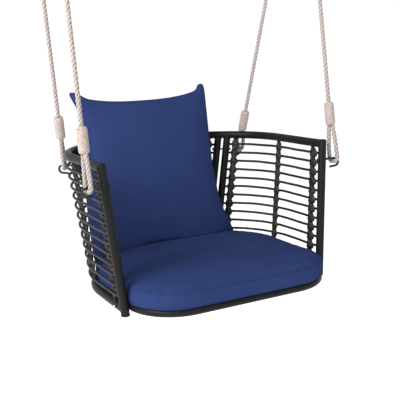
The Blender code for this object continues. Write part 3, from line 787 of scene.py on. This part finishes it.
def wicker_panel(name, node, runs, stays):
    """runs is a list of lists of points; stays a list of (place, radius, side, bulge)."""
    heights = strand_heights(node)
    strands = [bar(points, STRAND_R, 10) for points in runs]
    make_piece(f"{name}_strands", strands, "wicker", "seat", [node])
    windings, lashings = [], []
    for place, radius, side, bulge in stays:
        windings.append(winding(place, radius, heights, side, bulge))
        for direction in (-1, 1):
            lashings.append(lashing(place, radius, heights, side, bulge, direction))
    make_piece(f"{name}_windings", windings, "wicker", "seat")
    make_piece(f"{name}_lashings", lashings, "brown_wicker", "seat")


def side_wicker(side_name):
    side, node = SIDES[side_name], f"{side_name}_wicker"
    start = tuple(s + STRAND_START for s in FRONT_POST)
    end = tuple(s - STRAND_START for s in SIDE_REAR_POST)
    full = STAY_R + STRAND_R + 0.001
    heights = strand_heights(node)
    runs = [strand(start, end, height, i, side, full) for i, height in enumerate(heights)]
    stays = []
    for stay_name, place in SIDE_STAYS.items():
        radius = HOOK_STAY_R if stay_name == "rear" else STAY_R
        stays.append((place, radius, side, WINDING_BULGE[stay_name]))
        upright(f"{side_name}_{stay_name}_stay", place, side, radius)
    wicker_panel(side_name, node, runs, stays)


def back_wicker():
    start = tuple(s + STRAND_START for s in BACK_POST)
    full = STAY_R + STRAND_R + 0.0005
    heights = strand_heights("back_wicker")
    far = from_middle(0.0)
    runs = []
    for i, height in enumerate(heights):
        halves = []
        for side in (1, -1):
            points = strand(start, (2 * far[0] - start[0], 2 * far[1] - start[1]), height, i, 1, full)
            half = points[: len(points) // 2 + 1]
            halves.append([point * (side, 1, 1) for point in half])
        runs.append(halves[0][:-1] + list(reversed(halves[1])))
    stays = []
    for side_name, side in SIDES.items():
        for stay_name, place in (("outer", BACK_OUTER_STAY), ("inner", from_middle(BACK_INNER_STAY_X))):
            stays.append((place, STAY_R, side, WINDING_BULGE["back"]))
            upright(f"back_{side_name}_{stay_name}_stay", place, side, STAY_R)
    wicker_panel("back", "back_wicker", runs, stays)


# -------- seat base
SEAT_STRANDS = 15


def seat_base():
    """Level strands over the seat bars, each tied down to every bar."""
    low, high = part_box("seat_weave")
    height = (low.z + high.z) / 2
    inside = frame_outline(-FRAME_TUBE_R)
    right_half = inside[: len(inside) // 2]
    bars = [name for name in frame["nodes"] if name.startswith("seat_bar")]
    runs = []
    for y in np.linspace(low.y + STRAND_R, high.y - STRAND_R, SEAT_STRANDS):
        half = float(np.interp(y, right_half[:, 1], right_half[:, 0])) - STRAND_R
        places = np.linspace(-half, half, 60)
        runs.append([(x, y, height + 0.0006 * math.sin(x * 40 + y * 90)) for x in places])
        for name in bars:
            bar_low, bar_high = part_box(name)
            center = np.array(((bar_low.x + bar_high.x) / 2, y, (bar_low.z + bar_high.z) / 2))
            radius = (bar_high.x - bar_low.x) / 2 + WRAP_THICKNESS / 2
            runs.append(seat_tie(center, radius))
    strands = [bar(points, STRAND_R * 0.85, 8) for points in runs]
    make_piece("seat_weave_strands", strands, "wicker", "seat", ["seat_weave"])


def seat_tie(center, radius):
    """One open turn of strand round a seat bar, slanting under it."""
    points = []
    for k in range(25):
        turn = math.radians(-150 + 300 * k / 24)
        slant = 0.006 * (k / 24 - 0.5)
        points.append(center + np.array((math.sin(turn) * radius, slant, -math.cos(turn) * radius)))
    return points


# -------- cushions
def loft(rings):
    """A closed mesh through rings of equal numbers of points, with the ends filled by fans."""
    count = len(rings[0])
    ends = [ring.mean(axis=0, keepdims=True) for ring in (rings[0], rings[-1])]
    points = np.concatenate(rings + ends)
    faces = []
    for i in range(len(rings) - 1):
        for k in range(count):
            after = (k + 1) % count
            faces.append((i * count + k, i * count + after, (i + 1) * count + after, (i + 1) * count + k))
    bottom, top = len(points) - 2, len(points) - 1
    last = (len(rings) - 1) * count
    for k in range(count):
        after = (k + 1) % count
        faces.append((bottom, after, k))
        faces.append((top, last + k, last + after))
    return points, faces


def soft_object(name, points, faces):
    mesh = bpy.data.meshes.new(name)
    mesh.from_pydata([tuple(p) for p in points], [], faces)
    made = bpy.data.objects.new(name, mesh)
    bpy.context.scene.collection.objects.link(made)
    return made


def apply_modifiers(obj):
    graph = bpy.context.evaluated_depsgraph_get()
    mesh = bpy.data.meshes.new_from_object(obj.evaluated_get(graph))
    obj.modifiers.clear()
    obj.data = mesh


def remesh(obj, size):
    step = obj.modifiers.new("remesh", "REMESH")
    step.mode = "VOXEL"
    step.voxel_size = size
    smooth = obj.modifiers.new("smooth", "SMOOTH")
    smooth.iterations = 4
    smooth.factor = 0.5
    apply_modifiers(obj)


CLOTH = {
    "quality": 6, "mass": 0.3, "tension_stiffness": 12, "compression_stiffness": 12,
    "shear_stiffness": 6, "bending_stiffness": 0.6, "use_pressure": True, "vertex_group_mass": "pinned",
}
CLOTH_FRAMES = 20


def plump(obj, pressure, shrink, most, pinned):
    """Blows the cover up as cloth, and keeps each point within most of where it was."""
    before = np.array([v.co for v in obj.data.vertices])
    group = obj.vertex_groups.new(name="pinned")
    for index in np.nonzero(pinned(before))[0]:
        group.add([int(index)], 1.0, "REPLACE")
    cloth = obj.modifiers.new("cloth", "CLOTH")
    for name, value in CLOTH.items():
        setattr(cloth.settings, name, value)
    cloth.settings.uniform_pressure_force = pressure
    cloth.settings.shrink_min = shrink
    cloth.settings.effector_weights.gravity = 0.0
    scene = bpy.context.scene
    cloth.point_cache.frame_end = CLOTH_FRAMES
    for number in range(1, CLOTH_FRAMES + 1):
        scene.frame_set(number)
    apply_modifiers(obj)
    scene.frame_set(1)
    after = np.array([v.co for v in obj.data.vertices])
    moved = after - before
    length = np.linalg.norm(moved, axis=1, keepdims=True)
    capped = before + moved * np.minimum(1.0, most / np.maximum(length, 1e-9))
    obj.data.vertices.foreach_set("co", capped.astype(np.float32).ravel())
    obj.data.update()


def refine(obj):
    step = obj.modifiers.new("refine", "SUBSURF")
    step.levels = 1
    step.render_levels = 1
    apply_modifiers(obj)
    obj.data.shade_smooth()


def lie_on(obj, line, lift):
    """The line moved onto the cushion's surface, and out from it by lift."""
    tree = BVHTree.FromObject(obj, bpy.context.evaluated_depsgraph_get())
    found = []
    for point in line:
        place, normal, _, _ = tree.find_nearest(Vector(point))
        found.append(np.array(place + normal * lift))
    return np.array(found)


PANEL_LINES = 80  # upright lines that stand for each half of the panels
REST_REACH = 0.10  # how far above and below a cushion's underside its support is looked for


def keep_inside(obj, clearance):
    """Presses the cushion back wherever it reaches past the inner face of the panels."""
    points = np.array([v.co for v in obj.data.vertices])
    lines = []
    for side in SIDES.values():
        for k in range(PANEL_LINES + 1):
            place = place_between(FRONT_POST, from_middle(0.0), k / PANEL_LINES)
            ends = on_edge(BOTTOM, place[1], side), on_edge(TOP, place[0], side)
            lines.append((*ends, outward(place[0], side)))
    low, high, out = (np.array(column) for column in zip(*lines))
    share = np.clip((points[:, 2] - BOTTOM.z) / (TOP.z - BOTTOM.z), 0.0, 1.0)
    level = low + (high - low) * share[:, None, None]
    nearest = np.linalg.norm((level - points[:, None])[..., :2], axis=2).argmin(axis=1)
    face = level[np.arange(len(points)), nearest]
    beyond = ((points - face) * out[nearest]).sum(axis=1) + clearance
    over_rail = np.maximum(points[:, 2] - TOP.z, 0.0)
    beyond = np.maximum(beyond - over_rail, 0.0)
    points -= out[nearest] * beyond[:, None]
    obj.data.vertices.foreach_set("co", points.astype(np.float32).ravel())
    obj.data.update()


def rest_on(obj, support):
    """Flattens the underside of a cushion where it would reach into the one below."""
    tree = BVHTree.FromObject(support, bpy.context.evaluated_depsgraph_get())
    for vertex in obj.data.vertices:
        above = Vector((vertex.co.x, vertex.co.y, vertex.co.z + REST_REACH))
        hit, _, _, _ = tree.ray_cast(above, Vector((0, 0, -1)), 2 * REST_REACH)
        if hit and hit.z > vertex.co.z:
            vertex.co.z = hit.z
    obj.data.update()


def smooth_closed(points, rounds):
    for _ in range(rounds):
        points = (np.roll(points, 1, axis=0) + 2 * points + np.roll(points, -1, axis=0)) / 4
    return points


SEAT_LOW, SEAT_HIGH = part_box("seat_cushion")
SEAT_BORDER = 0.050  # height of the boxed border between its seams
BORDER_BULGE = 0.005
SEAT_CROWN = 0.019
PIPING_R = 0.0021
SEAT_FRONT_RADIUS = FRONT_RADIUS + 0.011
SEAT_REAR_RADIUS = REAR_RADIUS - 0.030
CROWN_START = 0.007  # how far inside the border the top's crown begins
CROWN_REACH = 0.150  # and how far in it is full
PANEL_CLEARANCE = 0.010


def cushion_ring(inset, height):
    half, front, back = SEAT_HIGH.x - inset, SEAT_LOW.y + inset, SEAT_HIGH.y - inset
    front_radius, rear_radius = (radius - inset * 0.9 for radius in (SEAT_FRONT_RADIUS, SEAT_REAR_RADIUS))
    outline = seat_outline(half, front, back, front_radius, rear_radius)
    return outline + (0.0, 0.0, SEAT_LOW.z + height)


def seat_cushion():
    """Boxed: the border is upright between two piped seams, and the top is crowned."""
    # Each level is how far inside the outline it lies, and its height.
    levels = [(0.060, -0.002), (0.012, -0.005), (0.003, -0.004), (0.0, 0.001)]
    for k in range(1, 6):
        share = k / 6
        levels.append((-BORDER_BULGE * math.sin(math.pi * share), SEAT_BORDER * share))
    levels += [(0.002, SEAT_BORDER - 0.003), (CROWN_START, SEAT_BORDER)]
    for k in range(1, 7):
        share = k / 6
        rise = SEAT_CROWN * math.sin(share * math.pi / 2) ** 0.8
        levels.append((CROWN_START + CROWN_REACH * share, SEAT_BORDER + rise))
    points, faces = loft([cushion_ring(inset, height) for inset, height in levels])
    made = soft_object("seat_cushion_cover", points, faces)
    remesh(made, 0.007)
    bottom = SEAT_LOW.z
    plump(made, pressure=1.5, shrink=-0.01, most=0.005, pinned=lambda p: p[:, 2] < bottom + 0.006)
    refine(made)
    keep_inside(made, PANEL_CLEARANCE)
    dress(made, "blue_fabric", "seat", ["seat_cushion"])
    seams = []
    for inset, height in ((0.001, -0.001), (0.004, SEAT_BORDER - 0.003)):
        line = smooth_closed(lie_on(made, cushion_ring(inset, height), PIPING_R * 0.4), 3)
        seams.append(bar(line, PIPING_R, 8, closed=True))
    make_piece("seat_cushion_piping", seams, "blue_fabric", "seat")
    return made


PILLOW_LEAN = math.radians(15)
PILLOW_FOOT = np.array((0.0, BOTTOM.back - 0.067, SEAT_HIGH.z - 0.013))
BOTTOM_SAG = 0.030  # how far the bottom edge hangs below the line between its corners
# The corners in the pillow's own plane, as (across, up) from the foot.
PILLOW_CORNERS = {
    "low_left": (-0.362, -0.010), "low_right": (0.254, -0.002),
    "high_left": (-0.310, 0.573), "high_right": (0.244, 0.575),
}
PILLOW_BOW = {"left": 0.066, "right": 0.028}  # how far the bottom corners come forward
PILLOW_PLUMP = {"front": 0.085, "back": 0.036}
PILLOW_EDGE = 0.0045  # half the thickness just inside the seam
BOTTOM_TUCK = 0.032  # how far forwards of its corners the bottom seam sits
TOP_HOLLOW = 0.037
# Where the slope up to an ear ends, as a share from the middle, and the slope's length.
EARS = {"left": (1.0, 0.25), "right": (0.91, 0.08)}
SIDE_HOLLOW = 0.028
HOLLOW_RISE = {"left": 0.9, "right": -0.45}  # how much deeper the hollow is above the middle
CORNER_ROUNDING = 0.006
PILLOW_SEAM_R = 0.0013
PILLOW_GRID = 64  # squares along each side of a face


def ease(share):
    share = min(max(share, 0.0), 1.0)
    return share * share * (3 - 2 * share)


def top_dip(u):
    """How far the top edge hangs below the line between the two ears."""
    end, run = EARS["left" if u < 0 else "right"]
    return TOP_HOLLOW * (1 - abs(u) ** 2.6) * ease((end - abs(u)) / run)


def side_dip(u, v):
    rise = HOLLOW_RISE["left" if u < 0 else "right"]
    return SIDE_HOLLOW * (1 - v ** 2) * (1 + rise * v)


def pillow_point(u, v, depth):
    """The point at shares u across and v up, both from -1 to 1, moved forwards by depth."""
    right, top = (u + 1) / 2, (v + 1) / 2
    corners = {name: np.array(place) for name, place in PILLOW_CORNERS.items()}
    low = corners["low_left"] * (1 - right) + corners["low_right"] * right
    high = corners["high_left"] * (1 - right) + corners["high_right"] * right
    across, up = low * (1 - top) + high * top
    across -= side_dip(u, v) * u * abs(u)
    rounding = CORNER_ROUNDING * abs(u * v) ** 30
    at_bottom = (1 - u ** 4) * max(-v, 0.0) ** 4
    across -= rounding * u
    up -= top_dip(u) * max(v, 0.0) ** 2 + BOTTOM_SAG * at_bottom + rounding * v
    bow = PILLOW_BOW["left" if u < 0 else "right"] * (1 - top) * u ** 2 + BOTTOM_TUCK * at_bottom
    lean = np.array((0.0, math.sin(PILLOW_LEAN), math.cos(PILLOW_LEAN)))
    ahead = np.array((0.0, -math.cos(PILLOW_LEAN), math.sin(PILLOW_LEAN)))
    return PILLOW_FOOT + np.array((across, -bow, 0.0)) + lean * up + ahead * depth


def pillow_depth(u, v, most):
    """Thin at the seams, full in the middle, and pinched towards the corners."""
    fullness = max((1 - u ** 2) * (1 - v ** 2), 0.0) ** 0.5
    edge = PILLOW_EDGE * (1 - max(abs(u), abs(v)) ** 14)
    return most * fullness + edge


def rim_steps(count):
    """The grid places round the pillow's seam, one after another."""
    ring = [(k, 0) for k in range(count)] + [(count, k) for k in range(count)]
    ring += [(count - k, count) for k in range(count)] + [(0, count - k) for k in range(count)]
    return ring


def back_cushion(support):
    """A knife-edged cushion with pointed corners, standing on the seat and leaning on the back panel."""
    count = PILLOW_GRID
    shares = np.linspace(-1, 1, count + 1)
    points, index = [], {}
    for face, sign in (("front", 1), ("back", -1)):
        for i, u in enumerate(shares):
            for j, v in enumerate(shares):
                on_rim = i in (0, count) or j in (0, count)
                if on_rim and face == "back":
                    index[face, i, j] = index["front", i, j]
                    continue
                index[face, i, j] = len(points)
                points.append(pillow_point(u, v, sign * pillow_depth(u, v, PILLOW_PLUMP[face])))
    faces = []
    for face in ("front", "back"):
        for i in range(count):
            for j in range(count):
                square = ((i, j), (i + 1, j), (i + 1, j + 1), (i, j + 1))
                quad = [index[face, row, column] for row, column in square]
                faces.append(quad if face == "front" else quad[::-1])
    made = soft_object("back_cushion_cover", points, faces)
    plump(made, pressure=1.2, shrink=-0.03, most=0.010, pinned=lambda p: p[:, 2] < CAD_LOW.z)
    refine(made)
    keep_inside(made, PANEL_CLEARANCE)
    rest_on(made, support)
    dress(made, "blue_fabric", "seat", ["back_cushion"])
    seam = np.array([made.data.vertices[index["front", i, j]].co for i, j in rim_steps(count)])
    welt = bar(smooth_closed(seam, 1), PILLOW_SEAM_R, 8, closed=True)
    make_piece("back_cushion_seam", [welt], "blue_fabric", "seat")


# -------- stage
FLOOR_DROP = 0.70
FLOOR_GLOW = 0.64
FADE_HEIGHTS = (0.12, 0.60)  # where the surround starts to dim, and where it is dimmest
EYE_LEVEL = 1.05  # the surround's strength at eye level and below
OVERHEAD = 0.33  # and straight above
FLOOR_SIZE = 14.0


def make_stage():
    """A pale floor and surround, and soft lights from the left and the front."""
    bpy.context.scene.view_settings.view_transform = "Standard"
    half = FLOOR_SIZE / 2
    z = CAD_LOW.z - FLOOR_DROP
    mesh = bpy.data.meshes.new("floor")
    corners = [(x * half, y * half, z) for x, y in ((-1, -1), (1, -1), (1, 1), (-1, 1))]
    mesh.from_pydata(corners, [], [(0, 1, 2, 3)])
    floor = bpy.data.objects.new("floor", mesh)
    bpy.context.scene.collection.objects.link(floor)
    pale = new_material("pale_floor", 0.9)
    shader = pale.node_tree.nodes["Principled BSDF"]
    shader.inputs["Base Color"].default_value = (0.93, 0.93, 0.93, 1.0)
    shader.inputs["Emission Color"].default_value = (1.0, 1.0, 1.0, 1.0)
    shader.inputs["Emission Strength"].default_value = FLOOR_GLOW
    mesh.materials.append(pale)
    make_surround()
    add_light("key", (-2.8, -1.9, 1.3), 2.2, 68.0)
    add_light("side", (-2.8, -0.6, 1.3), 1.4, 100.0)
    add_light("front", (0.2, -2.6, 1.2), 1.6, 14.0)


def make_surround():
    """A pale surround that is brightest at eye level and dimmer overhead."""
    world = bpy.data.worlds.new("studio")
    world.use_nodes = True
    nodes, links = world.node_tree.nodes, world.node_tree.links
    source = nodes.new("ShaderNodeTexCoord")
    split = nodes.new("ShaderNodeSeparateXYZ")
    fade = nodes.new("ShaderNodeMapRange")
    sockets = ("From Min", "From Max", "To Min", "To Max")
    for name, value in zip(sockets, (*FADE_HEIGHTS, EYE_LEVEL, OVERHEAD)):
        fade.inputs[name].default_value = value
    links.new(source.outputs["Generated"], split.inputs["Vector"])
    links.new(split.outputs["Z"], fade.inputs["Value"])
    links.new(fade.outputs["Result"], nodes["Background"].inputs["Strength"])
    nodes["Background"].inputs["Color"].default_value = (1.0, 1.0, 1.0, 1.0)
    bpy.context.scene.world = world


def add_light(name, place, size, power):
    data = bpy.data.lights.new(name, "AREA")
    data.size = size
    data.energy = power
    light = bpy.data.objects.new(name, data)
    bpy.context.scene.collection.objects.link(light)
    light.location = place
    target = Vector((0.0, 0.0, CAD_LOW.z + 0.3))
    light.rotation_mode = "QUATERNION"
    light.rotation_quaternion = (target - Vector(place)).to_track_quat("-Z", "Y")


# -------- the whole swing
def main():
    make_camera()
    for end_name in ("front", "back"):
        for side_name in SIDES:
            rope(end_name, side_name)
    for side_name, side in SIDES.items():
        for height_name in ("top", "bottom"):
            rail(side_name, height_name)
        front_post(side_name)
        upright(f"{side_name}_rear_post", SIDE_REAR_POST, side, POST_R)
        upright(f"back_{side_name}_post", BACK_POST, side, POST_R)
        side_wicker(side_name)
    for height_name in ("top", "bottom"):
        back_rail(height_name)
    back_wicker()
    seat_frame()
    seat_base()
    dress_nodes()
    back_cushion(seat_cushion())
    make_stage()


main()
